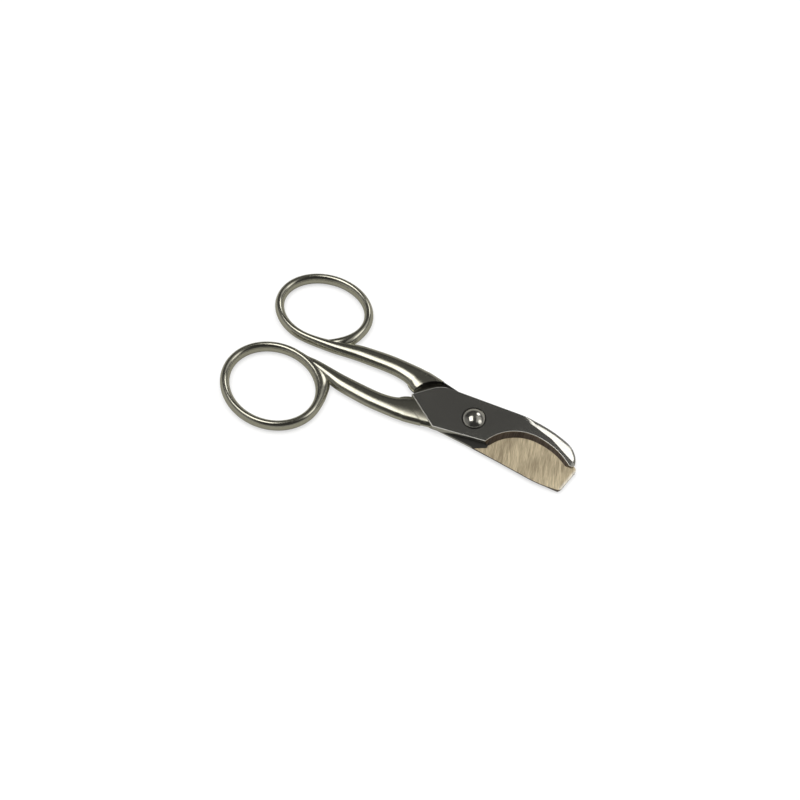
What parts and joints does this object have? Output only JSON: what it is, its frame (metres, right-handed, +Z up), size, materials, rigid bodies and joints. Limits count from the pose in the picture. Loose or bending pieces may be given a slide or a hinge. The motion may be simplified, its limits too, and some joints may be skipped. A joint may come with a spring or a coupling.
{
  "type": "wick trimmer",
  "caption": "Scissors-type candle wick trimmer in plated steel: a notched blade closing over a broad catching blade on a domed rivet, with oval finger bows.",
  "frame": {"origin": "on the rivet axis, in the plane that the underside rests on", "axes": "+X from the rivet towards the blade tips, +Y towards the finger bow of the back half, +Z up along the rivet towards its domed head"},
  "size_m": [0.1114, 0.0597, 0.0059],
  "materials": {
    "front_half": "polished nickel plate, ground cutting bevel",
    "back_half": "polished nickel plate, inner blade face ground bare",
    "rivet": "mirror polished dome"
  },
  "bodies": {
    "back": {"back_half": "back_half", "pivot_rivet": "rivet"},
    "front": {"front_half": "front_half"}
  },
  "joints": [
    {"name": "pivot", "type": "hinge", "parent": "back", "child": "front", "pos_m": [0, 0, 0.00202], "axis": [0, 0, 1], "range_deg": [-3.2, 55]}
  ]
}
